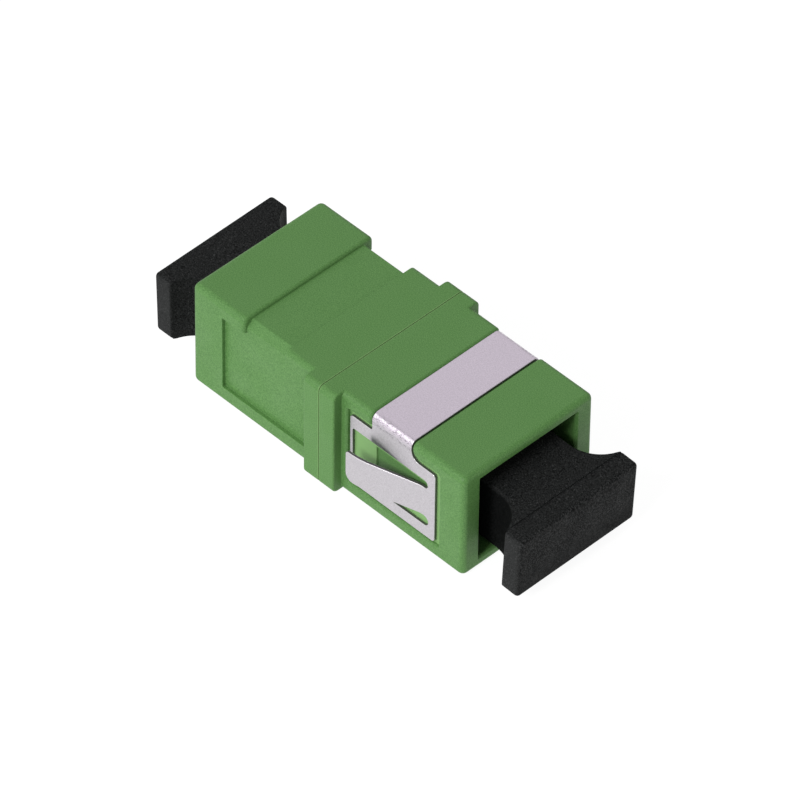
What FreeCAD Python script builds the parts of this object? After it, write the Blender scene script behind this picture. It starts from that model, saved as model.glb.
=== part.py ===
import FreeCAD, Part
import math
import os

from FreeCAD import Vector

# Simplex SC fibre adapter with a steel panel clip and a dust cap in each port.
# Frame: origin where the two housing halves meet, on the fibre axis. X runs along
# the fibre axis towards the clip end, Y across the width, Z up. Millimetres.

# Housing, two moulded halves welded at the flange
body_length = 26.8
body_width = 12.4
body_height = 9.3
long_edge_radius = 0.5
end_edge_radius = 0.45
flange_thickness = 3.0
flange_proud = 0.78
flange_corner_radius = 0.5
flange_edge_radius = 0.15
seam_chamfer = 0.06

# Plug port in each half, with its keyway in the underside
port_width = 9.1
port_height = 7.45
port_mouth_chamfer = 0.18
key_slot_width = 2.3
key_slot_length = 5.0

# Rear half: end band, waist and the shallow label recess in each side
end_band_length = 5.2
end_band_edge_radius = 0.28
waist_length = 4.1
waist_drop = 0.31
waist_chamfer = 0.55
waist_far_chamfer_width = 0.6
waist_far_chamfer_height = 0.82
label_recess_depth = 0.32
label_from_end = 3.0
label_bottom_margin = 1.4
label_top_margin = 1.3

# Latch insert, one trapped in each half against the other one
insert_plate_thickness = 1.3
insert_plate_overhang_y = 0.35
insert_plate_overhang_z = 0.2
insert_corner_radius = 0.3
insert_clearance = 0.05
hook_end = 8.5
hook_height = 3.2
hook_thickness = 0.55
hook_side_gap = 0.25
hook_catch_length = 1.0
hook_catch_face = 0.35
hook_nose_gap = 0.3
hook_relief_depth = 0.45
hook_relief_margin = 0.4

# Sleeve holder tubes and the split sleeve that floats in them
ferrule_diameter = 2.5
sleeve_wall = 0.35
sleeve_length = 11.4
sleeve_slot = 0.4
sleeve_side_clearance = 0.1
sleeve_end_clearance = 0.1
holder_wall = 0.5
holder_lip_length = 0.55
holder_lip_gap = 0.2
holder_chamfer = 0.15

# Panel clip, one bent steel sheet laid in a seat in the front half
sheet_thickness = 0.25
clip_below_surface = 0.05
clip_fit = 0.02
clip_bend_radius = 0.6
clip_plate_start = 2.25
clip_plate_length = 8.3
clip_plate_bottom_margin = 1.35
clip_plate_top_margin = 1.58
clip_corner_radius = 0.25
strap_from_plate_start = 2.14
strap_width = 3.82
strap_fillet_radius = 0.75
strap_rear_fillet_radius = 0.2
seat_gap_rear = 0.25
seat_gap_bottom = 0.17
seat_gap_front = 0.4
seat_gap_shoulder = 0.38
seat_gap_strap_rear = 0.04
seat_gap_strap_front = 0.12
seat_rim_chamfer = 0.15

# Sprung tab cut out of each side of the clip
window_border_rear = 0.25
window_border_top = 1.13
window_border_bottom = 0.99
window_border_front = 1.06
window_corner_radius = 0.2
upper_slot = 0.7
lower_slot = 0.88
tab_tip_gap = 0.75
tab_bend_radius = 2.0
tab_lift_angle = 16.2
tab_bow_length = 2.1
tab_tip_angle = -2.0
tab_upper_corner_radius = 0.25
tab_lower_corner_radius = 0.65
tab_relief_from_tip = 1.36
tab_relief_margin = 0.23
tab_relief_depth = 0.12

# Dust cap, the same moulding in both ports
cap_grip_width = 11.31
cap_grip_height = 5.47
cap_grip_thickness = 1.53
cap_grip_drop = 0.3
cap_rim_chamfer = 0.2
cap_corner_radius = 0.35
cap_neck_width = 6.6
cap_neck_step = 0.1
cap_flare_radius = 3.0
cap_reach = 4.4
cap_bore_clearance = 0.25
cap_nose_wall = 0.35
cap_nose_chamfer = 0.15
cap_nose_overlap = 2.75
cap_stop_gap = 0.25
cap_bore_depth = 8.0

# How the caps sit: drawn out of full depth, share of the bore's slack taken up, and turned
# about the fibre axis in degrees
rear_cap_out = 0.0
rear_cap_sag = 0.06
rear_cap_turn = 1.0
front_cap_out = 0.44
front_cap_sag = 0.52
front_cap_turn = -0.2

# Sizes that follow
half_length = body_length / 2
half_width = body_width / 2
half_height = body_height / 2
half_flange = flange_thickness / 2
past = 1.0
tolerance = 1e-6

sleeve_outer_radius = ferrule_diameter / 2 + sleeve_wall
holder_bore_radius = sleeve_outer_radius + sleeve_side_clearance
holder_radius = holder_bore_radius + holder_wall
lip_radius = ferrule_diameter / 2 + holder_lip_gap
lip_start = sleeve_length / 2 + sleeve_end_clearance
holder_end = lip_start + holder_lip_length

plate_half_y = port_width / 2 + insert_plate_overhang_y
plate_half_z = port_height / 2 + insert_plate_overhang_z
chamber_depth = insert_plate_thickness + insert_clearance

cap_bore_radius = holder_radius + cap_bore_clearance
cap_nose_radius = cap_bore_radius + cap_nose_wall
hook_outer_y = port_width / 2 - hook_side_gap
hook_inner_y = hook_outer_y - hook_thickness
hook_catch_y = cap_nose_radius + hook_nose_gap

clip_outer_y = half_width - clip_below_surface
clip_inner_y = clip_outer_y - sheet_thickness
clip_top_z = half_height - clip_below_surface
seat_floor_y = clip_inner_y - clip_fit
seat_floor_z = clip_top_z - sheet_thickness - clip_fit
clip_plate_bottom = clip_plate_bottom_margin - half_height
clip_plate_top = half_height - clip_plate_top_margin
clip_plate_end = clip_plate_start + clip_plate_length
strap_start = clip_plate_start + strap_from_plate_start
strap_end = strap_start + strap_width
bend_start_z = clip_top_z - clip_bend_radius

window_start = clip_plate_start + window_border_rear
window_end = clip_plate_end - window_border_front
window_bottom = clip_plate_bottom + window_border_bottom
window_top = clip_plate_top - window_border_top
tab_bottom = window_bottom + lower_slot
tab_top = window_top - upper_slot
tab_tip = window_start + tab_tip_gap


def block(x_range, y_range, z_range):
    """Box between two limits along each axis."""
    size = [high - low for low, high in (x_range, y_range, z_range)]
    corner = Vector(x_range[0], y_range[0], z_range[0])
    return Part.makeBox(size[0], size[1], size[2], corner)


def tube_along_x(radius, start, end):
    """Solid cylinder on the fibre axis."""
    return Part.makeCylinder(radius, end - start, Vector(start, 0, 0), Vector(1, 0, 0))


def corner_arc(before, corner, after, radius):
    """Start, middle and end of the arc that rounds a corner between two points."""
    to_before = (before - corner).normalize()
    to_after = (after - corner).normalize()
    half_angle = to_before.getAngle(to_after) / 2
    reach = radius / math.tan(half_angle)
    inward = (to_before + to_after).normalize()
    middle = corner + inward * (radius / math.sin(half_angle) - radius)
    return corner + to_before * reach, middle, corner + to_after * reach


def rounded_face(corners):
    """Flat face through (point, radius) corners, each rounded where it has a radius."""
    turns = []
    for index, (corner, radius) in enumerate(corners):
        before = corners[index - 1][0]
        after = corners[(index + 1) % len(corners)][0]
        turns.append(corner_arc(before, corner, after, radius))
    edges = []
    for index, (start, middle, end) in enumerate(turns):
        following = turns[(index + 1) % len(turns)][0]
        if (end - start).Length > tolerance:
            edges.append(Part.Arc(start, middle, end).toShape())
        if (following - end).Length > tolerance:
            edges.append(Part.makeLine(end, following))
    return Part.Face(Part.Wire(edges))


def bar_along_x(half_y, half_z, radius, start, end):
    """Bar along X with a rounded rectangular section."""
    section = [(-half_y, -half_z), (half_y, -half_z), (half_y, half_z), (-half_y, half_z)]
    corners = [(Vector(start, y, z), radius) for y, z in section]
    return rounded_face(corners).extrude(Vector(end - start, 0, 0))


def rim_edges(solid, x):
    """Edges that lie wholly in the plane at x."""
    return [edge for edge in solid.Edges
            if abs(edge.BoundBox.XMin - x) + abs(edge.BoundBox.XMax - x) < tolerance]


def both_sides(solid):
    """The solid and its mirror image across the mid plane of the width."""
    return [solid, solid.mirror(Vector(0, 0, 0), Vector(0, 1, 0))]


def turned_to_rear(solid):
    """The same piece turned half a turn about Z."""
    turned = solid.copy()
    turned.rotate(Vector(0, 0, 0), Vector(0, 0, 1), 180)
    return turned


def port_space():
    """Everything that is hollow inside one half: plug port, insert chamber, reliefs, keyway."""
    port = bar_along_x(port_width / 2, port_height / 2, 0, 0, half_length + past)
    chamber = bar_along_x(plate_half_y + insert_clearance, plate_half_z + insert_clearance,
                          insert_corner_radius, -past, chamber_depth)
    mouth_half_y = port_width / 2 + port_mouth_chamfer
    mouth_half_z = port_height / 2 + port_mouth_chamfer
    mouth = bar_along_x(mouth_half_y, mouth_half_z, 0, half_length - port_mouth_chamfer,
                        half_length + port_mouth_chamfer)
    mouth = mouth.makeChamfer(port_mouth_chamfer * 0.999,
                              rim_edges(mouth, half_length - port_mouth_chamfer))
    relief_half_y = port_width / 2 + hook_relief_depth
    relief_half_z = hook_height / 2 + hook_relief_margin
    relief = block((chamber_depth + hook_relief_margin, hook_end + hook_relief_margin),
                   (-relief_half_y, relief_half_y), (-relief_half_z, relief_half_z))
    keyway = block((half_length - key_slot_length, half_length + past),
                   (-key_slot_width / 2, key_slot_width / 2), (-half_height - past, 0))
    return port.fuse([chamber, mouth, relief, keyway])


def housing_half():
    """One half of the housing as both mouldings share it, open towards +X."""
    body = bar_along_x(half_width, half_height, long_edge_radius, seam_chamfer, half_length)
    body = body.makeFillet(end_edge_radius, rim_edges(body, half_length))
    flange = bar_along_x(half_width + flange_proud, half_height, flange_corner_radius,
                         0, half_flange)
    flange = flange.makeChamfer(seam_chamfer, rim_edges(flange, 0))
    flange = flange.makeFillet(flange_edge_radius, rim_edges(flange, half_flange))
    return body.fuse(flange).removeSplitter().cut(port_space())


def rear_housing():
    """Plain half: label recess in both sides and a waist cut into the top."""
    shell = turned_to_rear(housing_half())
    floor_y = half_width - label_recess_depth
    label_bottom = label_bottom_margin - half_height
    label_top = half_height - label_top_margin
    recess = block((-half_length + label_from_end, -half_flange),
                   (floor_y, half_width + past), (label_bottom, label_top))
    shell = shell.cut(both_sides(recess))
    waist_start = -half_length + end_band_length
    waist_end = waist_start + waist_length
    waist_top = half_height - waist_drop
    outer_y = half_width + past
    around = block((waist_start, waist_end), (-outer_y, outer_y), (label_top, half_height + past))
    section = [(-floor_y, 0), (floor_y, 0), (floor_y, waist_top - waist_far_chamfer_height),
               (floor_y - waist_far_chamfer_width, waist_top),
               (waist_chamfer - floor_y, waist_top), (-floor_y, waist_top - waist_chamfer)]
    core = rounded_face([(Vector(waist_start, y, z), 0) for y, z in section])
    core = core.extrude(Vector(waist_length, 0, 0))
    shell = shell.cut(around.cut(core)).removeSplitter()
    outer_edges = [edge for edge in rim_edges(shell, waist_start)
                   if edge.BoundBox.ZMax > label_top + tolerance
                   and (abs(edge.CenterOfMass.y) > floor_y + tolerance
                        or edge.CenterOfMass.z > waist_top + tolerance)]
    return shell.makeFillet(end_band_edge_radius, outer_edges)


def clip_side_face(y, plate_x, plate_z, strap_x, top_z):
    """Side view of the clip between these limits: plate with the strap rising from it."""
    fillet = strap_fillet_radius - (strap_x[1] - strap_end)
    corners = [
        (Vector(plate_x[0], y, plate_z[0]), clip_corner_radius),
        (Vector(plate_x[1], y, plate_z[0]), clip_corner_radius),
        (Vector(plate_x[1], y, plate_z[1]), clip_corner_radius),
        (Vector(strap_x[1], y, plate_z[1]), fillet),
        (Vector(strap_x[1], y, top_z), 0),
        (Vector(strap_x[0], y, top_z), 0),
        (Vector(strap_x[0], y, plate_z[1]), strap_rear_fillet_radius),
        (Vector(plate_x[0], y, plate_z[1]), clip_corner_radius),
    ]
    return rounded_face(corners)


def front_housing():
    """Clip half: the same shell with a seat for the clip and reliefs behind its tabs."""
    strap_range = (strap_start - seat_gap_strap_rear, strap_end + seat_gap_strap_front)
    seat = clip_side_face(seat_floor_y,
                          (clip_plate_start - seat_gap_rear, clip_plate_end + seat_gap_front),
                          (clip_plate_bottom - seat_gap_bottom, clip_plate_top + seat_gap_shoulder),
                          strap_range, half_height + past)
    seat = seat.extrude(Vector(0, half_width - seat_floor_y + past, 0))
    outer_y = half_width + past
    over_top = block(strap_range, (-outer_y, outer_y), (bend_start_z, half_height + past))
    core = bar_along_x(seat_floor_y, seat_floor_z, clip_bend_radius - sheet_thickness,
                       strap_range[0] - past, strap_range[1] + past)
    side_cuts = [side.cut(core) for side in both_sides(seat)]
    shell = housing_half().cut(side_cuts + [over_top.cut(core)]).removeSplitter()
    rims = [edge for edge in rim_edges(shell, strap_range[0])
            if abs(abs(edge.CenterOfMass.y) - half_width) < tolerance]
    relief = block((tab_tip + tab_relief_from_tip, window_end),
                   (seat_floor_y - tab_relief_depth, half_width),
                   (tab_bottom - tab_relief_margin, tab_top + tab_relief_margin))
    return shell.makeChamfer(seat_rim_chamfer, rims).cut(both_sides(relief))


def clip_strap():
    """Strap over the top, bent down at both edges to meet the side plates."""
    inner_z = clip_top_z - sheet_thickness
    inner_radius = clip_bend_radius - sheet_thickness
    section = [
        (-clip_outer_y, bend_start_z, 0), (-clip_outer_y, clip_top_z, clip_bend_radius),
        (clip_outer_y, clip_top_z, clip_bend_radius), (clip_outer_y, bend_start_z, 0),
        (clip_inner_y, bend_start_z, 0), (clip_inner_y, inner_z, inner_radius),
        (-clip_inner_y, inner_z, inner_radius), (-clip_inner_y, bend_start_z, 0),
    ]
    corners = [(Vector(strap_start, y, z), radius) for y, z, radius in section]
    return rounded_face(corners).extrude(Vector(strap_width, 0, 0))


def clip_window():
    """Opening round the tab: a rear gap and two slots with round ends."""
    y = clip_inner_y - past
    start = Vector(window_end, y, window_bottom)
    lower_end = Vector(window_end, y, tab_bottom)
    lower_round = Vector(window_end + lower_slot / 2, y, window_bottom + lower_slot / 2)
    upper_end = Vector(window_end, y, tab_top)
    upper_round = Vector(window_end + upper_slot / 2, y, window_top - upper_slot / 2)
    finish = Vector(window_end, y, window_top)
    upper_corner = corner_arc(finish, Vector(window_start, y, window_top),
                              Vector(window_start, y, window_bottom), window_corner_radius)
    lower_corner = corner_arc(Vector(window_start, y, window_top),
                              Vector(window_start, y, window_bottom), start,
                              window_corner_radius)
    edges = [
        Part.Arc(start, lower_round, lower_end).toShape(),
        Part.makeLine(lower_end, upper_end),
        Part.Arc(upper_end, upper_round, finish).toShape(),
        Part.makeLine(finish, upper_corner[0]),
        Part.Arc(*upper_corner).toShape(),
        Part.makeLine(upper_corner[2], lower_corner[0]),
        Part.Arc(*lower_corner).toShape(),
        Part.makeLine(lower_corner[2], start),
    ]
    return Part.Face(Part.Wire(edges)).extrude(Vector(0, 2 * past + sheet_thickness, 0))


def level_arc(centre, radius, angles):
    """Arc in a level plane between two angles in radians, counted from +Y towards +X."""
    middle = (angles[0] + angles[1]) / 2
    points = [centre + Vector(math.sin(angle), math.cos(angle), 0) * radius
              for angle in (angles[0], middle, angles[1])]
    return Part.Arc(*points)


def clip_tab():
    """Sprung tab: bent out at its root, straight, then bowed back at its free end."""
    lift = math.radians(tab_lift_angle)
    tip = math.radians(tab_tip_angle)
    half_sheet = sheet_thickness / 2
    mid_y = clip_outer_y - half_sheet
    bend_x = window_end - tab_bend_radius * math.sin(lift)
    bend_y = mid_y + tab_bend_radius * (1 - math.cos(lift))
    bow_x = tab_tip + tab_bow_length
    bow_y = bend_y + (bend_x - bow_x) * math.tan(lift)
    bow_radius = tab_bow_length / (math.sin(lift) - math.sin(tip))
    bend_centre = Vector(window_end, mid_y + tab_bend_radius, tab_bottom)
    bow_centre = Vector(bow_x - bow_radius * math.sin(lift),
                        bow_y - bow_radius * math.cos(lift), tab_bottom)
    bend = (math.pi, math.pi + lift)
    bow = (lift, tip - sheet_thickness / bow_radius)
    outer_bend = level_arc(bend_centre, tab_bend_radius - half_sheet, bend)
    inner_bend = level_arc(bend_centre, tab_bend_radius + half_sheet, bend)
    outer_bow = level_arc(bow_centre, bow_radius + half_sheet, bow)
    inner_bow = level_arc(bow_centre, bow_radius - half_sheet, bow)
    root_line = Part.LineSegment(inner_bend.StartPoint, outer_bend.StartPoint)
    outer_line = Part.LineSegment(outer_bend.EndPoint, outer_bow.StartPoint)
    inner_line = Part.LineSegment(inner_bend.EndPoint, inner_bow.StartPoint)
    tip_line = Part.LineSegment(outer_bow.EndPoint, inner_bow.EndPoint)
    curves = [root_line, outer_bend, outer_line, outer_bow, tip_line, inner_bow, inner_line,
              inner_bend]
    plan = Part.Face(Part.Wire(Part.__sortEdges__([curve.toShape() for curve in curves])))
    tab = plan.extrude(Vector(0, 0, tab_top - tab_bottom))
    side = rounded_face([
        (Vector(window_end + past, 0, tab_bottom), 0),
        (Vector(window_end + past, 0, tab_top), 0),
        (Vector(tab_tip, 0, tab_top), tab_upper_corner_radius),
        (Vector(tab_tip, 0, tab_bottom), tab_lower_corner_radius),
    ])
    return tab.common(side.extrude(Vector(0, body_width, 0)))


def panel_clip():
    """Clip bent from one sheet: strap, two windowed side plates and their sprung tabs."""
    plate = clip_side_face(clip_inner_y, (clip_plate_start, clip_plate_end),
                           (clip_plate_bottom, clip_plate_top), (strap_start, strap_end),
                           bend_start_z)
    plate = plate.extrude(Vector(0, sheet_thickness, 0))
    plate = plate.cut(clip_window()).fuse(clip_tab())
    return clip_strap().fuse(both_sides(plate)).removeSplitter()


def hook_plan():
    """Plan of one latch hook: arm, square catch face and sloped nose."""
    catch_x = hook_end - hook_catch_length
    corners = [
        (0, hook_outer_y), (0, hook_inner_y), (catch_x, hook_inner_y), (catch_x, hook_catch_y),
        (catch_x + hook_catch_face, hook_catch_y), (hook_end, hook_inner_y),
        (hook_end, hook_outer_y),
    ]
    return rounded_face([(Vector(x, y, -hook_height / 2), 0) for x, y in corners])


def latch_insert():
    """Front insert: base plate, half of the sleeve holder and two latch hooks."""
    plate = bar_along_x(plate_half_y, plate_half_z, insert_corner_radius,
                        0, insert_plate_thickness)
    holder = tube_along_x(holder_radius, 0, holder_end)
    holder = holder.makeChamfer(holder_chamfer, rim_edges(holder, holder_end))
    hook = hook_plan().extrude(Vector(0, 0, hook_height))
    bore = tube_along_x(holder_bore_radius, -past, lip_start)
    mouth = tube_along_x(lip_radius, 0, holder_end + past)
    return plate.fuse([holder] + both_sides(hook)).removeSplitter().cut([bore, mouth])


def split_sleeve():
    """Ceramic sleeve with one slot along its whole length."""
    half_sleeve = sleeve_length / 2
    sleeve = tube_along_x(sleeve_outer_radius, -half_sleeve, half_sleeve)
    sleeve = sleeve.cut(tube_along_x(ferrule_diameter / 2, -half_sleeve - past, half_sleeve + past))
    slot = block((-half_sleeve - past, half_sleeve + past), (-sleeve_slot / 2, sleeve_slot / 2),
                 (0, sleeve_outer_radius + past))
    return sleeve.cut(slot)


def cap_lengths():
    """Length of the cap, and where its neck steps down to the round nose."""
    face_at = half_length + cap_reach
    length = face_at - holder_end + cap_nose_overlap
    neck_end = face_at - hook_end - cap_stop_gap
    return length, neck_end


def cap_grip_and_neck():
    """Plan of the neck flaring through two hollow arcs into the grip, and the grip plate."""
    neck_end = cap_lengths()[1]
    half_neck = cap_neck_width / 2
    half_grip = cap_grip_width / 2
    widening = half_grip - half_neck
    reach = math.sqrt(2 * cap_flare_radius * widening - widening ** 2)
    swing = math.asin(reach / cap_flare_radius) / 2
    low = -cap_grip_height / 2 - cap_neck_step
    flare_start = cap_grip_thickness + reach
    centre_y = half_neck + cap_flare_radius
    middle = Vector(cap_flare_radius * math.sin(swing), cap_flare_radius * math.cos(swing), 0)
    edges = []
    for side in (1, -1):
        neck_tip = Vector(neck_end, side * half_neck, low)
        flare_foot = Vector(flare_start, side * half_neck, low)
        flare_middle = Vector(flare_start - middle.x, side * (centre_y - middle.y), low)
        flare_top = Vector(cap_grip_thickness, side * half_grip, low)
        edges.append(Part.makeLine(neck_tip, flare_foot))
        edges.append(Part.Arc(flare_foot, flare_middle, flare_top).toShape())
    edges.append(Part.makeLine(Vector(neck_end, half_neck, low), Vector(neck_end, -half_neck, low)))
    edges.append(Part.makeLine(Vector(cap_grip_thickness, half_grip, low),
                               Vector(cap_grip_thickness, -half_grip, low)))
    plan = Part.Face(Part.Wire(Part.__sortEdges__(edges)))
    neck = plan.extrude(Vector(0, 0, -2 * low))
    neck = neck.common(bar_along_x(half_grip, -low, cap_corner_radius, 0, neck_end))
    grip = bar_along_x(half_grip, cap_grip_height / 2, cap_corner_radius, 0, cap_grip_thickness)
    grip = grip.makeChamfer(cap_rim_chamfer, rim_edges(grip, 0))
    joined = neck.fuse(grip)
    joined.translate(Vector(0, 0, -cap_grip_drop))
    return joined


def dust_cap():
    """Cap in its own frame: grip face at the origin, nose pointing along +X."""
    length, neck_end = cap_lengths()
    nose = tube_along_x(cap_nose_radius, neck_end - past, length)
    nose = nose.makeChamfer(cap_nose_chamfer, rim_edges(nose, length))
    bore = tube_along_x(cap_bore_radius, length - cap_bore_depth, length + past)
    return cap_grip_and_neck().fuse(nose).removeSplitter().cut(bore)


def seated_cap(drawn_out, sag, turn):
    """Cap in the rear port, drooping about the end of the sleeve holder by its slack."""
    cap = dust_cap()
    droop = math.asin(sag * cap_bore_clearance / cap_nose_overlap)
    cap.rotate(Vector(0, 0, 0), Vector(1, 0, 0), turn)
    cap.translate(Vector(-half_length - cap_reach - drawn_out, 0, 0))
    cap.rotate(Vector(-holder_end, 0, 0), Vector(0, 1, 0), -math.degrees(droop))
    return cap


def build():
    """All pieces in place, by node name."""
    front_insert = latch_insert()
    return {
        "rear_housing": rear_housing(),
        "front_housing": front_housing(),
        "rear_latch_insert": turned_to_rear(front_insert),
        "front_latch_insert": front_insert,
        "split_sleeve": split_sleeve(),
        "panel_clip": panel_clip(),
        "rear_dust_cap": seated_cap(rear_cap_out, rear_cap_sag, rear_cap_turn),
        "front_dust_cap": turned_to_rear(seated_cap(front_cap_out, front_cap_sag,
                                                    front_cap_turn)),
    }


os.makedirs("parts", exist_ok=True)
for name, solid in build().items():
    print(name, len(solid.Solids), solid.isValid(), round(solid.Volume, 2))
    solid.exportStep(os.path.join("parts", name + ".step"))
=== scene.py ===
import math
import bpy
import bmesh
import numpy as np
from mathutils import Matrix, Vector
from mathutils.geometry import delaunay_2d_cdt


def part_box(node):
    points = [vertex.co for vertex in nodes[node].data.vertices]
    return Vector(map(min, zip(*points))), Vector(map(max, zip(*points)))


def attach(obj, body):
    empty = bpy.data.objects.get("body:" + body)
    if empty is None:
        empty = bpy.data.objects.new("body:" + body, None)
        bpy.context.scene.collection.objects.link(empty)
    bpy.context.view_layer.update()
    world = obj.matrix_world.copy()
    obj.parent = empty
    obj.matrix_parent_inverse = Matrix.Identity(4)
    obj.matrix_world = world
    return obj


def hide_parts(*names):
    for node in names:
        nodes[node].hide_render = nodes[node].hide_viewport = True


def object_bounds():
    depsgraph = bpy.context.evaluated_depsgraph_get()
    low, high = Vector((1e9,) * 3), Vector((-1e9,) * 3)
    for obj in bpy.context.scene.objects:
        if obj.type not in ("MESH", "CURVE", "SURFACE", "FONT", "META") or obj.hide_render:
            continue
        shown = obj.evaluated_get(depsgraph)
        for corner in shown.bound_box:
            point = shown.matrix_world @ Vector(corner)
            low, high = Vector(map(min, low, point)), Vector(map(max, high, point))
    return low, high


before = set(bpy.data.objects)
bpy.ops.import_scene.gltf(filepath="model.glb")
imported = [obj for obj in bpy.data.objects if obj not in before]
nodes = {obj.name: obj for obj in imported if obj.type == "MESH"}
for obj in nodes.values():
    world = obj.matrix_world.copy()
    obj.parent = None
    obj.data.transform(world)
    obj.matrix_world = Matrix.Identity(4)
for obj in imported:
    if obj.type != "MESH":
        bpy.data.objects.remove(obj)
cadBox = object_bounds()
mm = 0.001
print("frame loaded:", len(nodes), "pieces")


# shader helpers

def startMaterial(name, baseColor, roughness, metallic=0.0):
    mat = bpy.data.materials.new(name)
    mat.use_nodes = True
    mat.diffuse_color = (*baseColor, 1)
    surface = mat.node_tree.nodes["Principled BSDF"]
    surface.inputs["Base Color"].default_value = (*baseColor, 1)
    surface.inputs["Roughness"].default_value = roughness
    surface.inputs["Metallic"].default_value = metallic
    return mat, mat.node_tree, surface


def addNode(tree, kind, settings=None, **values):
    node = tree.nodes.new("ShaderNode" + kind)
    for key, value in (settings or {}).items():
        setattr(node, key, value)
    for key, value in values.items():
        node.inputs[key].default_value = value
    return node


def objectSpot(tree, stretch=(1, 1, 1)):
    # object coordinates in millimetres, so that every pattern size below is a real one
    coord = addNode(tree, "TexCoord")
    scale = addNode(tree, "Mapping")
    scale.inputs["Scale"].default_value = [s / mm for s in stretch]
    tree.links.new(coord.outputs["Object"], scale.inputs["Vector"])
    return scale.outputs["Vector"]


def noiseField(tree, spot, size, detail=2.0, rough=0.5):
    # soft noise with blobs about "size" millimetres across
    noise = addNode(tree, "TexNoise", Scale=1 / size, Detail=detail, Roughness=rough)
    tree.links.new(spot, noise.inputs["Vector"])
    return noise.outputs["Fac"]


def spread(tree, field, low, high, fromLow=0.3, fromHigh=0.7):
    # stretches the part of a field from "fromLow" to "fromHigh" over low to high
    ramp = addNode(tree, "MapRange")
    ends = {"From Min": fromLow, "From Max": fromHigh, "To Min": low, "To Max": high}
    for key, value in ends.items():
        ramp.inputs[key].default_value = value
    tree.links.new(field, ramp.inputs["Value"])
    return ramp.outputs["Result"]


def combined(tree, operation, *values):
    # arithmetic on fields and plain numbers
    node = addNode(tree, "Math", {"operation": operation})
    for socket, value in zip(node.inputs, values):
        if isinstance(value, (int, float)):
            socket.default_value = value
        else:
            tree.links.new(value, socket)
    return node.outputs["Value"]


def near(tree, field, middle, full, none):
    # 1 where the field is within "full" of the middle value, fading out to 0 at "none"
    away = combined(tree, "ABSOLUTE", combined(tree, "SUBTRACT", field, middle))
    return spread(tree, away, 1, 0, full, none)


def product(tree, *fields):
    # all the fields multiplied, so that it is 1 only where each of them is
    result = fields[0]
    for field in fields[1:]:
        result = combined(tree, "MULTIPLY", result, field)
    return result


def apart(tree, spot):
    # the three coordinates of a spot, each as a field
    split = addNode(tree, "SeparateXYZ")
    tree.links.new(spot, split.inputs["Vector"])
    return [split.outputs[axis] for axis in "XYZ"]


def tinted(tree, surface, field, low, high):
    # colour from low to high along a field; low and high are colours or another tint's output
    mix = addNode(tree, "Mix", {"data_type": "RGBA"})
    slots = {socket.identifier: socket for socket in mix.inputs}
    for key, color in (("A_Color", low), ("B_Color", high)):
        if isinstance(color, tuple):
            slots[key].default_value = (*color, 1)
        else:
            tree.links.new(color, slots[key])
    tree.links.new(field, slots["Factor_Float"])
    result = next(socket for socket in mix.outputs if socket.identifier == "Result_Color")
    tree.links.new(result, surface.inputs["Base Color"])
    return result


def embossed(tree, surface, layers):
    # each layer is (height field, height in millimetres); they stack into one bump chain
    last = None
    for field, height in layers:
        bump = addNode(tree, "Bump", Strength=1.0, Distance=height * mm)
        tree.links.new(field, bump.inputs["Height"])
        if last:
            tree.links.new(last.outputs["Normal"], bump.inputs["Normal"])
        last = bump
    tree.links.new(last.outputs["Normal"], surface.inputs["Normal"])


def linear(red, green, blue):
    # screen colour 0 to 255 into the linear value that the shader wants
    return tuple(((c / 255 + 0.055) / 1.055) ** 2.4 for c in (red, green, blue))


# finishes

def greenHousingPlastic():
    look = {"dark": (69, 111, 55), "light": (95, 138, 77), "gloss": 0.22, "roughness": (0.42, 0.56),
            "grain": 0.075, "grainHeight": 0.004, "cloud": 2.6, "cloudHeight": 0.006,
            "seatBounceColour": (122, 163, 102), "seatY": 5.86, "seatReach": (0.05, 0.09), "seatX": (2.1, 2.3),
            "seatEnd": (10.9, 11.1), "seatTop": (3.9, 4.05),
            "seamPale": (112, 150, 92), "seamReach": (0.05, 0.1)}
    mat, tree, surface = startMaterial("greenHousingPlastic", linear(*look["light"]), 0.5)
    surface.inputs["Specular IOR Level"].default_value = look["gloss"]
    spot = objectSpot(tree)
    grain = noiseField(tree, spot, look["grain"], 1.0, 0.5)
    cloud = noiseField(tree, spot, look["cloud"], 1.0)
    base = tinted(tree, surface, spread(tree, grain, 0, 1),
                  linear(*look["dark"]), linear(*look["light"]))

    # painted light: the thin floor of the clip's seat is painted paler than the walls round it, for
    # the light the steel throws back onto it
    x, y, z = apart(tree, spot)
    seatBounceMask = near(tree, combined(tree, "ABSOLUTE", y), look["seatY"], *look["seatReach"])
    seatBounceMask = product(tree, seatBounceMask, spread(tree, x, 0, 1, *look["seatX"]),
                      spread(tree, x, 1, 0, *look["seatEnd"]), spread(tree, z, 1, 0, *look["seatTop"]))
    base = tinted(tree, surface, seatBounceMask, base, linear(*look["seatBounceColour"]))

    # a paler line along the seam where the two halves meet
    tinted(tree, surface, near(tree, x, 0, *look["seamReach"]), base, linear(*look["seamPale"]))
    tree.links.new(spread(tree, cloud, *look["roughness"]), surface.inputs["Roughness"])
    embossed(tree, surface, [(grain, look["grainHeight"]), (cloud, look["cloudHeight"])])
    return mat


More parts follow.
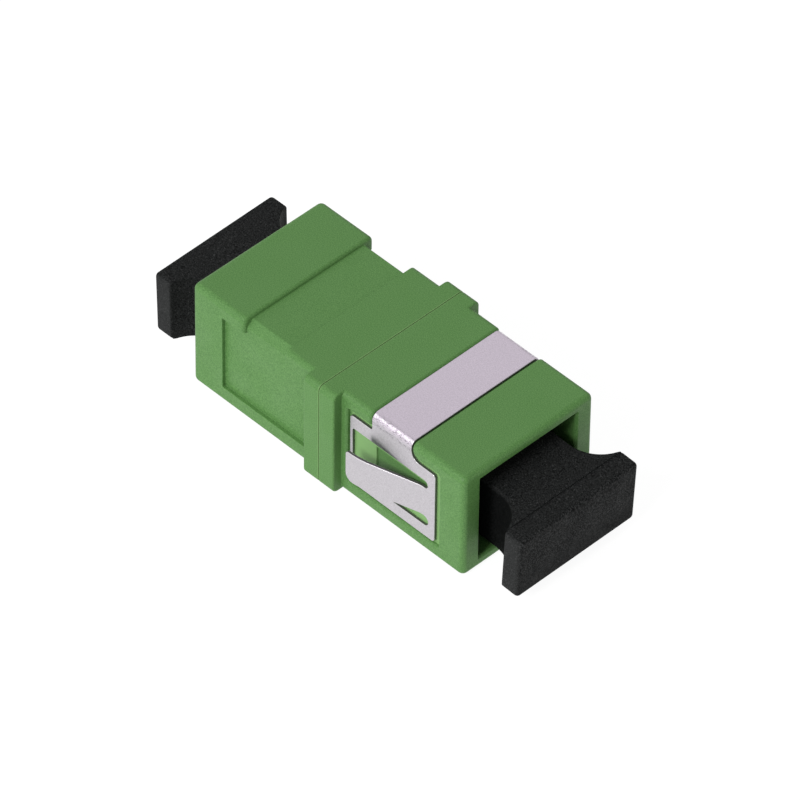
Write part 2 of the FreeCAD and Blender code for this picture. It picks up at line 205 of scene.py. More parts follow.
def blackCapPlastic():
    look = {"dark": (6, 7, 7), "light": (44, 45, 45), "gloss": 0.03, "roughness": (0.5, 0.66),
            "grain": 0.09, "grainHeight": 0.012, "fleck": 0.11, "fleckLight": (60, 61, 61),
            "fleckFrom": (0.63, 0.73),
            "cloud": 1.6, "cloudHeight": 0.01, "neckShadeColour": (5, 6, 6), "neckShare": 0.75,
            "neckY": (3.1, 3.25), "neckX": (16.5, 16.62), "neckZ": (1.7, 1.95),
            "sideY": (5.5, 5.62), "sideShare": 0.27, "sideLitColour": (58, 59, 59),
            "faceX": (18.12, 18.2), "coarse": 0.12, "coarseShare": 0.5, "coarseLight": (66, 67, 67),
            "raisedFrom": (0.5, 0.62), "sunkFrom": (0.38, 0.5)}
    mat, tree, surface = startMaterial("blackCapPlastic", linear(*look["light"]), 0.6)
    surface.inputs["Specular IOR Level"].default_value = look["gloss"]
    spot = objectSpot(tree)
    grain = noiseField(tree, spot, look["grain"], 1.0, 0.5)
    cloud = noiseField(tree, spot, look["cloud"], 1.0)
    fleck = noiseField(tree, spot, look["fleck"], 1.0, 0.5)
    base = tinted(tree, surface, spread(tree, grain, 0, 1),
                  linear(*look["dark"]), linear(*look["light"]))
    base = tinted(tree, surface, spread(tree, fleck, 0, 1, *look["fleckFrom"]),
                  base, linear(*look["fleckLight"]))

    # the grip's sides get painted light, a little lighter tone for the light they catch, and the face
    # of the front grip has a coarser grain
    x, y, z = apart(tree, spot)
    outward = combined(tree, "ABSOLUTE", y)
    litSideMask = spread(tree, outward, 0, look["sideShare"], *look["sideY"])
    base = tinted(tree, surface, litSideMask, base, linear(*look["sideLitColour"]))
    onFace = spread(tree, x, 0, look["coarseShare"], *look["faceX"])
    coarse = noiseField(tree, spot, look["coarse"], 1.0, 0.6)
    raised = product(tree, onFace, spread(tree, coarse, 0, 1, *look["raisedFrom"]))
    sunk = product(tree, onFace, spread(tree, coarse, 1, 0, *look["sunkFrom"]))
    base = tinted(tree, surface, raised, base, linear(*look["coarseLight"]))
    base = tinted(tree, surface, sunk, base, linear(*look["dark"]))

    # painted shade: the sides of the neck that stands out of the front port are painted a deeper
    # black, for the shadow the housing casts on them
    neckShadeMask = product(tree, spread(tree, outward, 0, look["neckShare"], *look["neckY"]),
                     spread(tree, x, 1, 0, *look["neckX"]), spread(tree, x, 0, 1, 0, 1),
                     spread(tree, z, 1, 0, *look["neckZ"]))
    tinted(tree, surface, neckShadeMask, base, linear(*look["neckShadeColour"]))
    tree.links.new(spread(tree, cloud, *look["roughness"]), surface.inputs["Roughness"])
    embossed(tree, surface, [(grain, look["grainHeight"]), (cloud, look["cloudHeight"])])
    return mat


def springSteel():
    look = {"flat": (206, 202, 207), "strap": (218, 207, 220), "roughness": (0.34, 0.46),
            "grain": 0.085, "grainDark": (112, 108, 112), "grainShare": 0.24,
            "roll": 0.06, "rollHeight": 0.0012, "speck": 0.1, "speckHeight": 0.0018,
            "strapFrom": (3.9, 4.5), "dotRow": 1.47, "dotReach": (0.05, 0.17), "dot": 0.1,
            "dotGlintColour": (238, 234, 240), "creaseRow": 1.6, "creaseReach": (0.22, 0.5),
            "lowerRow": 2.28, "lowerReach": (0.08, 0.2), "crease": 0.07, "creaseShadeColour": (140, 133, 142),
            "creaseHeight": 0.004, "reflectDark": (92, 96, 96), "reflectTop": 1.94, "reflectHigh": 0.8,
            "reflectStart": (4.25, 4.45), "reflectNarrows": (5.0, 7.0), "reflectEnd": (6.6, 8.2), "reflectPatch": 0.22,
            "creaseFrom": (0.5, 0.64), "dotFrom": (0.5, 0.6), "strongest": 0.9,
            "reflectLow": 0.15, "reflectFade": (0.35, 1), "reflectUnder": (0.12, 0.02), "patchLow": 0.6}
    mat, tree, surface = startMaterial("springSteel", linear(*look["flat"]), 0.35, 1.0)
    spot = objectSpot(tree)
    x, y, z = apart(tree, spot)
    rolled = noiseField(tree, objectSpot(tree, (0.08, 1, 1)), look["roll"], 2.0)
    speck = noiseField(tree, spot, look["speck"], 3.0, 0.6)
    # painted light: the strap over the top gets a lighter, pinker tone than the side plates, for the
    # light its top catches
    litStrapMask = spread(tree, z, 0, 1, *look["strapFrom"])
    shade = tinted(tree, surface, litStrapMask, linear(*look["flat"]), linear(*look["strap"]))
    grain = spread(tree, noiseField(tree, spot, look["grain"], 1.0), 0, look["grainShare"])
    shade = tinted(tree, surface, grain, shade, linear(*look["grainDark"]))

    # the fold over the housing's edges: a painted highlight as a row of bright dots, with painted
    # shade in the creases on both sides of it and a few more below; |y| - z grows evenly down round
    # the fold
    down = combined(tree, "SUBTRACT", combined(tree, "ABSOLUTE", y), z)
    crease = noiseField(tree, objectSpot(tree, (0.3, 1, 1)), look["crease"], 1.0)
    dots = noiseField(tree, objectSpot(tree, (0.8, 0.7, 0.7)), look["dot"], 0.0)
    inCreases = combined(tree, "MAXIMUM", near(tree, down, look["creaseRow"], *look["creaseReach"]),
                         near(tree, down, look["lowerRow"], *look["lowerReach"]))
    creaseShadeMask = product(tree, inCreases, spread(tree, crease, 0, look["strongest"],
                                                 *look["creaseFrom"]))
    glintDotMask = product(tree, near(tree, down, look["dotRow"], *look["dotReach"]),
                        spread(tree, dots, 0, look["strongest"], *look["dotFrom"]))
    shade = tinted(tree, surface, creaseShadeMask, shade, linear(*look["creaseShadeColour"]))
    shade = tinted(tree, surface, glintDotMask, shade, linear(*look["dotGlintColour"]))

    # a painted dark reflection along each window's top edge, high at the strap's rear and lower
    # forwards
    high = spread(tree, x, look["reflectHigh"], look["reflectLow"] * look["reflectHigh"], *look["reflectNarrows"])
    above = combined(tree, "DIVIDE", combined(tree, "SUBTRACT", z, look["reflectTop"]), high)
    patch = spread(tree, noiseField(tree, spot, look["reflectPatch"], 3.0, 0.6), look["patchLow"], 1)
    underEdge = [look["reflectTop"] - below for below in look["reflectUnder"]]
    darkReflectionMask = product(tree, spread(tree, above, 1, 0, *look["reflectFade"]), patch,
                     spread(tree, x, 0, 1, *look["reflectStart"]), spread(tree, x, 1, 0, *look["reflectEnd"]),
                     spread(tree, z, 0, 1, *underEdge))
    tinted(tree, surface, darkReflectionMask, shade, linear(*look["reflectDark"]))

    tree.links.new(spread(tree, speck, *look["roughness"]), surface.inputs["Roughness"])
    creased = product(tree, inCreases, crease)
    embossed(tree, surface, [(rolled, look["rollHeight"]), (speck, look["speckHeight"]),
                             (creased, look["creaseHeight"])])
    return mat


def shearedSteel():
    # the cut edges of the sheet: torn and duller than its rolled faces, and darker partly as sheared
    # steel, partly as painted shade for edges that sit in the gaps
    look = {"dark": (92, 90, 92), "light": (128, 125, 128), "roughness": (0.5, 0.7),
            "tear": 0.07, "tearHeight": 0.004}
    mat, tree, surface = startMaterial("shearedSteel", linear(*look["light"]), 0.6, 1.0)
    tear = noiseField(tree, objectSpot(tree), look["tear"], 3.0, 0.6)
    tinted(tree, surface, spread(tree, tear, 0, 1), linear(*look["dark"]), linear(*look["light"]))
    tree.links.new(spread(tree, tear, *look["roughness"]), surface.inputs["Roughness"])
    embossed(tree, surface, [(tear, look["tearHeight"])])
    return mat


def naturalInsertPlastic():
    look = {"dark": (214, 211, 198), "light": (228, 225, 213), "roughness": (0.38, 0.5),
            "grain": 0.2, "grainHeight": 0.006}
    mat, tree, surface = startMaterial("naturalInsertPlastic", linear(*look["light"]), 0.42)
    grain = noiseField(tree, objectSpot(tree), look["grain"], 3.0)
    tinted(tree, surface, spread(tree, grain, 0, 1), linear(*look["dark"]), linear(*look["light"]))
    tree.links.new(spread(tree, grain, *look["roughness"]), surface.inputs["Roughness"])
    embossed(tree, surface, [(grain, look["grainHeight"])])
    return mat


def groundCeramic():
    look = {"dark": (236, 234, 229), "light": (246, 245, 241), "roughness": (0.14, 0.24),
            "ring": 0.06, "ringHeight": 0.001}
    mat, tree, surface = startMaterial("groundCeramic", linear(*look["light"]), 0.18)
    ring = noiseField(tree, objectSpot(tree, (1, 0.1, 0.1)), look["ring"], 2.0)
    tinted(tree, surface, spread(tree, ring, 0, 1), linear(*look["dark"]), linear(*look["light"]))
    tree.links.new(spread(tree, ring, *look["roughness"]), surface.inputs["Roughness"])
    embossed(tree, surface, [(ring, look["ringHeight"])])
    return mat


def paleFloorPaint():
    # a pale floor that is lit from within a little, so that hardly any shadow shows on it
    look = {"color": (100, 100, 100), "glow": 0.93, "gloss": 0.1, "roughness": (0.75, 0.85),
            "grain": 1.2, "grainHeight": 0.02}
    mat, tree, surface = startMaterial("paleFloorPaint", linear(*look["color"]), 0.8)
    surface.inputs["Specular IOR Level"].default_value = look["gloss"]
    surface.inputs["Emission Color"].default_value = (1, 1, 1, 1)
    surface.inputs["Emission Strength"].default_value = look["glow"]
    grain = noiseField(tree, objectSpot(tree), look["grain"], 3.0)
    tree.links.new(spread(tree, grain, *look["roughness"]), surface.inputs["Roughness"])
    embossed(tree, surface, [(grain, look["grainHeight"])])
    return mat


# mesh helpers

def linkPiece(name, mesh, material):
    piece = bpy.data.objects.new(name, mesh)
    mesh.materials.clear()
    mesh.materials.append(material)
    bpy.context.scene.collection.objects.link(piece)
    return piece


def softened(node, name, material, look):
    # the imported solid, merged, with its flat faces joined and every hard edge rounded off
    mesh = nodes[node].data.copy()
    mesh.name = name
    shape = bmesh.new()
    shape.from_mesh(mesh)
    bmesh.ops.remove_doubles(shape, verts=shape.verts, dist=look["merge"] * mm)
    bmesh.ops.dissolve_limit(shape, angle_limit=math.radians(look["flat"]), verts=shape.verts,
                             edges=shape.edges)
    # a needle-thin corner would throw its bevel far out, so its short sides are drawn together
    needles = {side for panel in shape.faces for corner in panel.loops
               if corner.calc_angle() < math.radians(look["needle"])
               for side in (corner.edge, corner.link_loop_prev.edge)
               if side.calc_length() < look["needleSide"] * mm}
    bmesh.ops.collapse(shape, edges=list(needles))
    shape.to_mesh(mesh)
    shape.free()
    if mesh.has_custom_normals:
        mesh.attributes.remove(mesh.attributes["custom_normal"])
    piece = linkPiece(name, mesh, material)
    bevel = piece.modifiers.new("edge", "BEVEL")
    bevel.width = look["edge"] * mm
    bevel.segments = look["steps"]
    bevel.limit_method = "ANGLE"
    bevel.angle_limit = math.radians(look["hard"])
    bevel.use_clamp_overlap = False
    bevel.miter_outer = "MITER_ARC"
    weigh = piece.modifiers.new("shading", "WEIGHTED_NORMAL")
    weigh.keep_sharp = True
    mesh.shade_smooth()
    return piece


def finishPiece(piece, body, slot, *replaced):
    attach(piece, body)
    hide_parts(*replaced)
    return piece


# the moulded pieces keep their solids' shape and get softer edges

green = greenHousingPlastic()
black = blackCapPlastic()
natural = naturalInsertPlastic()
ceramic = groundCeramic()
steel = springSteel()
cutSteel = shearedSteel()

housingEdge = {"merge": 0.001, "flat": 0.4, "edge": 0.05, "steps": 2, "hard": 40,
               "needle": 12, "needleSide": 0.12}
insertEdge = {**housingEdge}
sleeveEdge = {**housingEdge, "edge": 0.03}

moulded = [
    ("rear_housing", "rearShell", green, housingEdge, "housing", "green_housing"),
    ("front_housing", "frontShell", green, housingEdge, "housing", "green_housing"),
    ("rear_latch_insert", "rearLatch", natural, insertEdge, "housing", "insert_plastic"),
    ("front_latch_insert", "frontLatch", natural, insertEdge, "housing", "insert_plastic"),
    ("split_sleeve", "ferruleSleeve", ceramic, sleeveEdge, "housing", "sleeve_ceramic"),
]
for node, name, material, edge, body, slot in moulded:
    finishPiece(softened(node, name, material, edge), body, slot, node)
print("moulded pieces softened:", len(moulded))


# a cap is one surface: a rounded outline carried along its axis, from the grip's face over the
# neck and the nose to the bottom of the nose's hollow

cap = {
    "gripWidth": 11.31, "gripHeight": 5.47, "grip": 1.53, "drop": 0.3, "rim": 0.3, "corner": 0.35,
    "neckWidth": 6.6, "neckStep": 0.1, "neckCorner": 0.12, "neckEnd": 9.05, "flare": 3.0,
    "nose": 2.8, "noseFrom": 8.05, "noseChamfer": 0.15, "length": 14.2, "bore": 2.45, "boreFrom": 6.2,
    "across": (20, 10), "cornerSteps": 6, "rimSteps": 6, "flareSteps": 24, "hard": 50,
    # the grip's back edge in three steps: place along, width taken off, height put on
    "backEdge": ((-0.08, 0, 0), (-0.03, 0.012, 0), (0, 0.05, 0.01)),
    "rimCorner": 0.04, "flareFrom": 0.03, "noseStep": 0.02, "neckEdge": 0.03, "noseLead": 0.04,
    "face": 17.8, "pivot": 6.35, "slack": 0.25, "overlap": 2.75,
}

# how each cap sits: drawn out, share of its slack that it droops by, degrees turned, and its end
rearSeat = {"out": 0.0, "sag": 0.06, "turn": 1.0, "side": 1}
frontSeat = {"out": 0.44, "sag": 0.52, "turn": -0.2, "side": -1}


def capOutline(look):
    # one row per point of a rounded oblong: its share of the two flat half sides, then its
    # direction on the corner's arc
    signs = np.array([(1, 1), (-1, 1), (-1, -1), (1, -1)], float)
    parts = []
    for corner in range(4):
        turn = np.radians(90 * corner + np.linspace(0, 90, look["cornerSteps"]))
        arc = np.stack([np.cos(turn), np.sin(turn)], axis=1)
        share = (np.arange(1, look["across"][corner % 2]) / look["across"][corner % 2])[:, None]
        along = signs[corner] + share * (signs[(corner + 1) % 4] - signs[corner])
        parts.append(np.concatenate([np.tile(signs[corner], (len(arc), 1)), arc], axis=1))
        parts.append(np.concatenate([along, np.tile(arc[-1], (len(along), 1))], axis=1))
    return np.concatenate(parts)


def capStations(look):
    # stations along the axis: place, half width, half height and corner radius. The rim is a
    # quarter circle, and the flare is an arc that leaves the neck smoothly and meets the grip
    halfWidth, halfHeight = look["gripWidth"] / 2, look["gripHeight"] / 2
    halfNeck, neckHigh = look["neckWidth"] / 2, look["gripHeight"] / 2 + look["neckStep"]
    t = np.linspace(0, np.pi / 2, look["rimSteps"])
    inset = look["rim"] * (1 - np.sin(t))
    rim = np.stack([look["rim"] * (1 - np.cos(t)), halfWidth - inset, halfHeight - inset,
                    np.maximum(look["corner"] - inset, look["rimCorner"])], axis=1)
    widening = halfWidth - halfNeck
    reach = math.sqrt(2 * look["flare"] * widening - widening ** 2)
    back = np.array(look["backEdge"])
    edge = np.stack([look["grip"] + back[:, 0], halfWidth - back[:, 1], halfHeight + back[:, 2],
                     np.full(len(back), look["corner"])], axis=1)
    t = np.linspace(math.asin((reach - look["flareFrom"]) / look["flare"]), 0, look["flareSteps"])
    wide = halfNeck + look["flare"] * (1 - np.cos(t))
    towards = np.clip((wide - halfWidth + look["corner"]) / look["corner"], 0, 1)
    flare = np.stack([look["grip"] + reach - look["flare"] * np.sin(t), wide,
                      np.full_like(t, neckHigh),
                      look["neckCorner"] + (look["corner"] - look["neckCorner"]) * towards], axis=1)
    less = look["neckEdge"]
    neck = np.array([(look["noseFrom"] - look["noseStep"], halfNeck, neckHigh, look["neckCorner"]),
                     (look["noseFrom"], halfNeck, neckHigh, look["neckCorner"]),
                     (look["neckEnd"] - less, halfNeck, neckHigh, look["neckCorner"]),
                     (look["neckEnd"], halfNeck - less, neckHigh - less, look["neckCorner"] - less)])
    return np.concatenate([rim, edge, flare, neck])


def capSurface(name, look, seat):
    # each point is the flat half sides less the corner, times its shares, plus the corner's arc.
    # Past the nose's start no point lies nearer the axis than the nose. The nose's own rings
    # are circles in the directions of the neck's last ring
    stations = capStations(look)
    outline = capOutline(look)
    corner = stations[:, 3, None]
    y = (stations[:, 1, None] - corner) * outline[:, 0] + corner * outline[:, 2]
    z = (stations[:, 2, None] - corner) * outline[:, 1] + corner * outline[:, 3] - look["drop"]
    away = np.hypot(y, z)
    grown = np.where(stations[:, :1] >= look["noseFrom"], np.maximum(1, look["nose"] / away), 1)
    y, z = y * grown, z * grown
    direction = np.stack([y[-1], z[-1]], axis=1) / np.hypot(y[-1], z[-1])[:, None]
    rings = np.array([(look["neckEnd"] + look["noseLead"], look["nose"]),
                      (look["length"] - look["noseChamfer"], look["nose"]),
                      (look["length"], look["nose"] - look["noseChamfer"]),
                      (look["length"], look["bore"]),
                      (look["boreFrom"], look["bore"])])
    x = np.concatenate([stations[:, 0], rings[:, 0]])
    y = np.concatenate([y, rings[:, 1:] * direction[:, 0]])
    z = np.concatenate([z, rings[:, 1:] * direction[:, 1]])
    rows, count = y.shape
    points = np.stack([np.repeat(x, count), y.ravel(), z.ravel()], axis=1)
    points = np.concatenate([points, [(0, 0, -look["drop"]), (look["boreFrom"], 0, 0)]])

    # set in its port: turned about the axis, drawn out, and drooping about the holder's end
    turn = math.radians(seat["turn"])
    droop = -math.asin(seat["sag"] * look["slack"] / look["overlap"])
    along = points[:, 0] - look["face"] - seat["out"] + look["pivot"]
    across = points[:, 1] * math.cos(turn) - points[:, 2] * math.sin(turn)
    up = points[:, 1] * math.sin(turn) + points[:, 2] * math.cos(turn)
    outward = along * math.cos(droop) + up * math.sin(droop) - look["pivot"]
    upward = up * math.cos(droop) - along * math.sin(droop)
    placed = np.stack([seat["side"] * outward, seat["side"] * across, upward], axis=1)

    here = np.arange(rows - 1)[:, None] * count + np.arange(count)
    beside = np.arange(rows - 1)[:, None] * count + np.roll(np.arange(count), -1)
    quads = np.stack([here, beside, beside + count, here + count], axis=2).reshape(-1, 4)
    first = np.arange(count)
    last = first + (rows - 1) * count
    faceFan = np.stack([np.roll(first, -1), first, np.full(count, rows * count)], axis=1)
    boreFan = np.stack([last, np.roll(last, -1), np.full(count, rows * count + 1)], axis=1)
    mesh = bpy.data.meshes.new(name)
    mesh.from_pydata((placed * mm).tolist(), [], quads.tolist() + faceFan.tolist() + boreFan.tolist())
    mesh.update()
    return mesh


caps = [("rear_dust_cap", "rearCap", rearSeat, "rear_cap"),
        ("front_dust_cap", "frontCap", frontSeat, "front_cap")]
for node, name, seat, body in caps:
    mesh = capSurface(name, cap, seat)
    mesh.shade_smooth()
    mesh.set_sharp_from_angle(angle=math.radians(cap["hard"]))
    piece = linkPiece(name, mesh, black)
    weigh = piece.modifiers.new("shading", "WEIGHTED_NORMAL")
    weigh.keep_sharp = True
    finishPiece(piece, body, "cap_plastic", node)
print("caps shaped:", len(caps))


# the clip is one sheet: a flat blank cut to its outline, then folded by a formula

clip = {
    "sheet": 0.25, "bend": 0.6, "side": 6.15, "plateTop": 3.07, "strapFrom": 2.14, "strap": 3.82,
    "corner": 0.25, "fillet": 0.75, "rearFillet": 0.2,
    "borderRear": 0.25, "borderTop": 1.13, "borderBottom": 0.99, "borderFront": 1.06,
    "upperSlot": 0.7, "lowerSlot": 0.88, "windowCorner": 0.2, "tipGap": 0.75,
    "tabUpper": 0.25, "tabLower": 0.65,
    "tabBend": 2.0, "tabLift": 16.2, "tabBow": 2.1, "tabTip": -2.0,
    "cell": 0.3, "bendCell": 0.06, "rimCell": 0.08, "edge": 0.055, "edgeSteps": 2, "hard": 50,
    "slotRound": 0.4995, "gridGap": 0.35, "nudge": 0.01,
    "wrinkle": 0.012, "creaseAt": 0.45, "creaseWide": 0.5, "ripple": (21, 2.1, 1.9),
    "rippleFade": (0.6, 0.4, 3.1, 1.3), "wave": 0.006, "waveAlong": (0.9, 0.4), "waveAcross": 0.55,
}


def roundedLoop(corners, step=0.35):
    # closed outline: at each corner (x, y, radius) an arc of even steps touches both sides
    points = np.array([c[:2] for c in corners], float)
    loop = []
    for i, (x, y, radius) in enumerate(corners):
        here = points[i]
        if radius == 0:
            loop.append(here[None, :])
            continue
        back = points[i - 1] - here
        ahead = points[(i + 1) % len(points)] - here
        back /= np.linalg.norm(back)
        ahead /= np.linalg.norm(ahead)
        halfAngle = math.acos(np.clip(back @ ahead, -1, 1)) / 2
        centre = here + (back + ahead) / np.linalg.norm(back + ahead) * radius / math.sin(halfAngle)
        first = here + back * radius / math.tan(halfAngle) - centre
        last = here + ahead * radius / math.tan(halfAngle) - centre
        turn = math.pi - 2 * halfAngle
        t = np.linspace(0, 1, max(3, int(turn / step) + 1))[:, None]
        arc = (first * np.sin((1 - t) * turn) + last * np.sin(t * turn)) / math.sin(turn)
        loop.append(centre + arc)
    return np.concatenate(loop)


def stepped(loop, step):
    # extra points along the straight stretches, so that no two are further apart than the step
    along = np.roll(loop, -1, axis=0) - loop
    count = np.maximum(1, np.ceil(np.linalg.norm(along, axis=1) / step).astype(int))
    first = np.repeat(np.arange(len(loop)), count)
    share = (np.arange(len(first)) - np.repeat(np.cumsum(count) - count, count)) / count[first]
    return loop[first] + along[first] * share[:, None]


def insideLoops(points, loops):
    # even-odd test of all points at once: inside where a ray to the right crosses an odd count
    odd = np.zeros(len(points), bool)
    px, py = points[:, :1], points[:, 1:]
    for loop in loops:
        ahead = np.roll(loop, -1, axis=0)
        crosses = (loop[:, 1] > py) != (ahead[:, 1] > py)
        run = np.where(ahead[:, 1] == loop[:, 1], 1, ahead[:, 1] - loop[:, 1])
        at = loop[:, 0] + (py - loop[:, 1]) / run * (ahead[:, 0] - loop[:, 0])
        odd ^= (np.sum(crosses & (px < at), axis=1) % 2).astype(bool)
    return odd


def farFromLoops(points, loops, reach):
    # true where a point keeps at least "reach" from every outline segment
    nearest = np.full(len(points), np.inf)
    for loop in loops:
        along = np.roll(loop, -1, axis=0) - loop
        length = np.maximum((along ** 2).sum(1), 1e-12)
        offset = points[:, None, :] - loop[None, :, :]
        t = np.clip((offset * along).sum(2) / length, 0, 1)
        gap = np.linalg.norm(offset - t[..., None] * along, axis=2)
        nearest = np.minimum(nearest, gap.min(1))
    return nearest > reach


def clipSheet(face, rim):
    low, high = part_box("panel_clip")
    half = clip["sheet"] / 2
    startX, endX, bottomZ = low.x / mm, high.x / mm, low.z / mm
    topZ = high.z / mm - half
    bendMid = clip["bend"] - half
    sideY = clip["side"] - half
    flatHalf = sideY - bendMid
    bendLength = bendMid * math.pi / 2
    foldEnd = flatHalf + bendLength
    strapX = startX + clip["strapFrom"] + np.array([0, clip["strap"]])

    def downTo(z):
        # distance along the sheet from the middle of the strap down to height z on a side plate
        return foldEnd + topZ - bendMid - z

    shoulder, foot = downTo(clip["plateTop"]), downTo(bottomZ)
    corner = clip["corner"]
    oneSide = [(strapX[1], shoulder, clip["fillet"]), (endX, shoulder, corner), (endX, foot, corner),
               (startX, foot, corner), (startX, shoulder, corner),
               (strapX[0], shoulder, clip["rearFillet"])]
    outline = oneSide + [(x, -u, r) for x, u, r in reversed(oneSide)]
    windowX = startX + clip["borderRear"]
    rootX = endX - clip["borderFront"]
    topU = downTo(clip["plateTop"] - clip["borderTop"])
    bottomU = downTo(bottomZ + clip["borderBottom"])
    upper, lower, slotRound = clip["upperSlot"], clip["lowerSlot"], clip["slotRound"]
    tabTopU, tabBottomU = topU + upper, bottomU - lower
    tipX = windowX + clip["tipGap"]
    window = [(windowX, topU, clip["windowCorner"]),
              (rootX + upper / 2, topU, upper * slotRound),
              (rootX + upper / 2, tabTopU, upper * slotRound),
              (tipX, tabTopU, clip["tabUpper"]),
              (tipX, tabBottomU, clip["tabLower"]),
              (rootX + lower / 2, tabBottomU, lower * slotRound),
              (rootX + lower / 2, bottomU, lower * slotRound),
              (windowX, bottomU, clip["windowCorner"])]
    otherWindow = [(x, -u, r) for x, u, r in window]
    loops = [stepped(roundedLoop(c), clip["rimCell"]) for c in (outline, window, otherWindow)]

    # grid points inside the blank, closer together across the bends
    cell = clip["cell"]
    x = np.arange(startX, endX, cell)
    u = np.concatenate([np.arange(0, flatHalf - cell / 2, cell),
                        np.arange(flatHalf, foldEnd + cell / 4, clip["bendCell"]),
                        np.arange(foldEnd + cell, foot, cell)])
    u = np.concatenate([-u[::-1], u])
    grid = np.stack(np.meshgrid(x, u), -1).reshape(-1, 2)
    grid = grid[insideLoops(grid, loops) & farFromLoops(grid, loops, cell * clip["gridGap"])]
    points = np.concatenate(loops + [grid])
    edges, first = [], 0
    for loop in loops:
        index = first + np.arange(len(loop))
        edges += np.stack([index, np.roll(index, -1)], 1).tolist()
        first += len(loop)
    cut = delaunay_2d_cdt([Vector(p) for p in points.tolist()], edges, [], 0, 1e-5)
    flat = np.array([v[:] for v in cut[0]])
    faces = np.array(cut[2])
    faces = faces[insideLoops(flat[faces].mean(1), loops)]
    corners = flat[faces]
    turn = np.cross(corners[:, 1] - corners[:, 0], corners[:, 2] - corners[:, 0])
    faces[turn < 0] = faces[turn < 0][:, ::-1]

    # fold: flat on top, a quarter circle over each edge, then straight down
    x, u = flat.T
    side, away = np.sign(u), np.abs(u)
    angle = np.clip((away - flatHalf) / bendMid, 0, math.pi / 2)
    down = np.maximum(away - foldEnd, 0)
    y = np.minimum(away, flatHalf) + bendMid * np.sin(angle)
    z = topZ - bendMid * (1 - np.cos(angle)) - down
    normal = np.stack([0 * x, np.sin(angle), np.cos(angle)])

    # tab: a bend outwards at its root, a straight slope, then a bow back at its tip
    lift, tip = math.radians(clip["tabLift"]), math.radians(clip["tabTip"])
    bendRun = clip["tabBend"] * math.sin(lift)
    bowRadius = clip["tabBow"] / (math.sin(lift) - math.sin(tip))
    run = np.clip(rootX - x, 0, None)
    bend = clip["tabBend"] - np.sqrt(clip["tabBend"] ** 2 - np.minimum(run, bendRun) ** 2)
    slopeRun = rootX - tipX - clip["tabBow"] - bendRun
    slope = np.clip(run - bendRun, 0, slopeRun) * math.tan(lift)
    past = np.clip(run - bendRun - slopeRun, 0, clip["tabBow"])
    bow = np.sqrt(bowRadius ** 2 - (bowRadius * math.sin(lift) - past) ** 2)
    bow = bow - bowRadius * math.cos(lift)
    nudge = clip["nudge"]
    onTab = (away > tabTopU - nudge) & (away < tabBottomU + nudge) & (x > tipX - nudge)
    y = y + np.where(onTab, bend + slope + bow, 0)

    # fine creases along each bend, a sine down the sheet that drifts and fades along x, and a
    # slight waviness of the flat strap, a long sine along x times a long cosine across
    creaseAt, creaseWide = bendLength * clip["creaseAt"], bendLength * clip["creaseWide"]
    crease = np.exp(-((away - flatHalf - creaseAt) / creaseWide) ** 2)
    rate, drift, driftRate = clip["ripple"]
    level, fade, fadeRate, fadeSide = clip["rippleFade"]
    ripple = np.sin(rate * away + drift * np.sin(driftRate * x) + side)
    ripple = ripple * (level + fade * np.sin(fadeRate * x + fadeSide * side))
    waveRate, waveStart = clip["waveAlong"]
    wave = np.sin(waveRate * x + waveStart) * np.cos(clip["waveAcross"] * u)
    push = clip["wrinkle"] * crease * ripple + clip["wave"] * wave * (down == 0)
    y, z = side * (y + push * normal[1]), z + push * normal[2]

    mesh = bpy.data.meshes.new("clipSheet")
    mesh.from_pydata((np.stack([x, y, z], 1) * mm).tolist(), [], faces.tolist())
    piece = linkPiece("clipSheet", mesh, face)
    mesh.materials.append(rim)
    wall = piece.modifiers.new("sheet", "SOLIDIFY")
    wall.thickness = clip["sheet"] * mm
    wall.offset = 0
    wall.use_even_offset = True
    wall.material_offset_rim = 1
    edge = piece.modifiers.new("edge", "BEVEL")
    edge.width = clip["edge"] * mm
    edge.segments = clip["edgeSteps"]
    edge.limit_method = "ANGLE"
    edge.angle_limit = math.radians(clip["hard"])
    edge.use_clamp_overlap = False
    edge.harden_normals = True
    edge.material = 0
    mesh.shade_smooth()
    print("clip sheet:", len(flat), "points,", len(faces), "faces")
    return piece


finishPiece(clipSheet(steel, cutSteel), "housing", "clip_steel", "panel_clip")


# studio: pale floor, soft lights, camera at the photo's angle

studio = {"floorSize": 1600, "floorCells": 40, "worldLevel": 0.33}
lights = {
    "keyLight": {"place": (105, -873, 662), "size": 420, "power": 8.6},
    "leftLight": {"place": (-560, -770, 560), "size": 1300, "power": 4.2},
    "topLight": {"place": (-760, 755, 1050), "size": 2200, "power": 6.6},
    "rimLight": {"place": (770, 560, 560), "size": 600, "power": 0.6},
}


def paleFloor():
    # level grid of square cells at the height of the part's underside
    cells = studio["floorCells"]
    span = np.linspace(-1, 1, cells + 1) * studio["floorSize"]
    x, y = np.meshgrid(span, span)
    z = np.full_like(x, cadBox[0].z / mm)
    points = np.stack([x, y, z], -1).reshape(-1, 3) * mm
    i, j = np.meshgrid(np.arange(cells), np.arange(cells))
    first = (j * (cells + 1) + i).ravel()
    faces = np.stack([first, first + 1, first + cells + 2, first + cells + 1], 1)
    mesh = bpy.data.meshes.new("paleFloor")
    mesh.from_pydata(points.tolist(), [], faces.tolist())
    floor = linkPiece("paleFloor", mesh, paleFloorPaint())


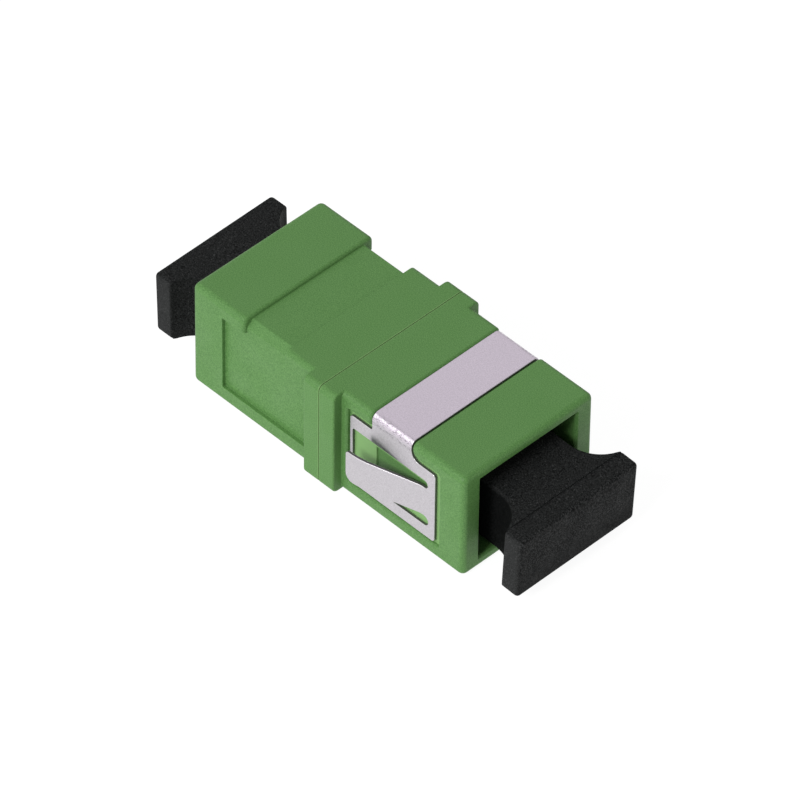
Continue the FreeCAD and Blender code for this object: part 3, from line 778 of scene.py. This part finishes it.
def softLight(name, place, size, power):
    # a round lamp that faces the middle of the part
    data = bpy.data.lights.new(name, "AREA")
    data.shape = "DISK"
    data.size = size * mm
    data.energy = power
    light = bpy.data.objects.new(name, data)
    light.location = Vector(place) * mm
    light.rotation_mode = "QUATERNION"
    light.rotation_quaternion = (-light.location).to_track_quat("-Z", "Y")
    bpy.context.scene.collection.objects.link(light)


def whiteRoom():
    world = bpy.data.worlds.new("whiteRoom")
    world.use_nodes = True
    world.node_tree.nodes["Background"].inputs["Color"].default_value = (1, 1, 1, 1)
    world.node_tree.nodes["Background"].inputs["Strength"].default_value = studio["worldLevel"]
    bpy.context.scene.world = world


photo = {"azimuth": 45.2412, "elevation": 44.4257, "roll": 0.7843, "distance": 597.40,
         "across": -4.2528, "upward": 5.9368, "centre": (7.03, 0, -4.652),
         "focal": 8670.8, "pixels": 800, "sensor": 36, "sees": (0.01, 10)}


def photoCamera():
    # the photo's view: turned and tilted about the part, slightly rolled, long lens
    turn, tilt, roll = (math.radians(photo[k]) for k in ("azimuth", "elevation", "roll"))
    back = Vector((math.sin(turn) * math.cos(tilt), -math.cos(turn) * math.cos(tilt), math.sin(tilt)))
    level = Vector((math.cos(turn), math.sin(turn), 0))
    rise = back.cross(level)
    right = level * math.cos(roll) + rise * math.sin(roll)
    up = rise * math.cos(roll) - level * math.sin(roll)
    place = back * photo["distance"] + right * photo["across"] + up * photo["upward"]
    data = bpy.data.cameras.new("photoCamera")
    data.sensor_width = photo["sensor"]
    data.lens = photo["focal"] / photo["pixels"] * photo["sensor"]
    data.clip_start, data.clip_end = photo["sees"]
    camera = bpy.data.objects.new("photoCamera", data)
    spot = (place + Vector(photo["centre"])) * mm
    camera.matrix_world = Matrix.Translation(spot) @ Matrix((right, up, back)).transposed().to_4x4()
    bpy.context.scene.collection.objects.link(camera)
    bpy.context.scene.camera = camera


paleFloor()
for name, lamp in lights.items():
    softLight(name, **lamp)
whiteRoom()
photoCamera()
bpy.context.scene.view_settings.view_transform = "Standard"
print("studio ready")
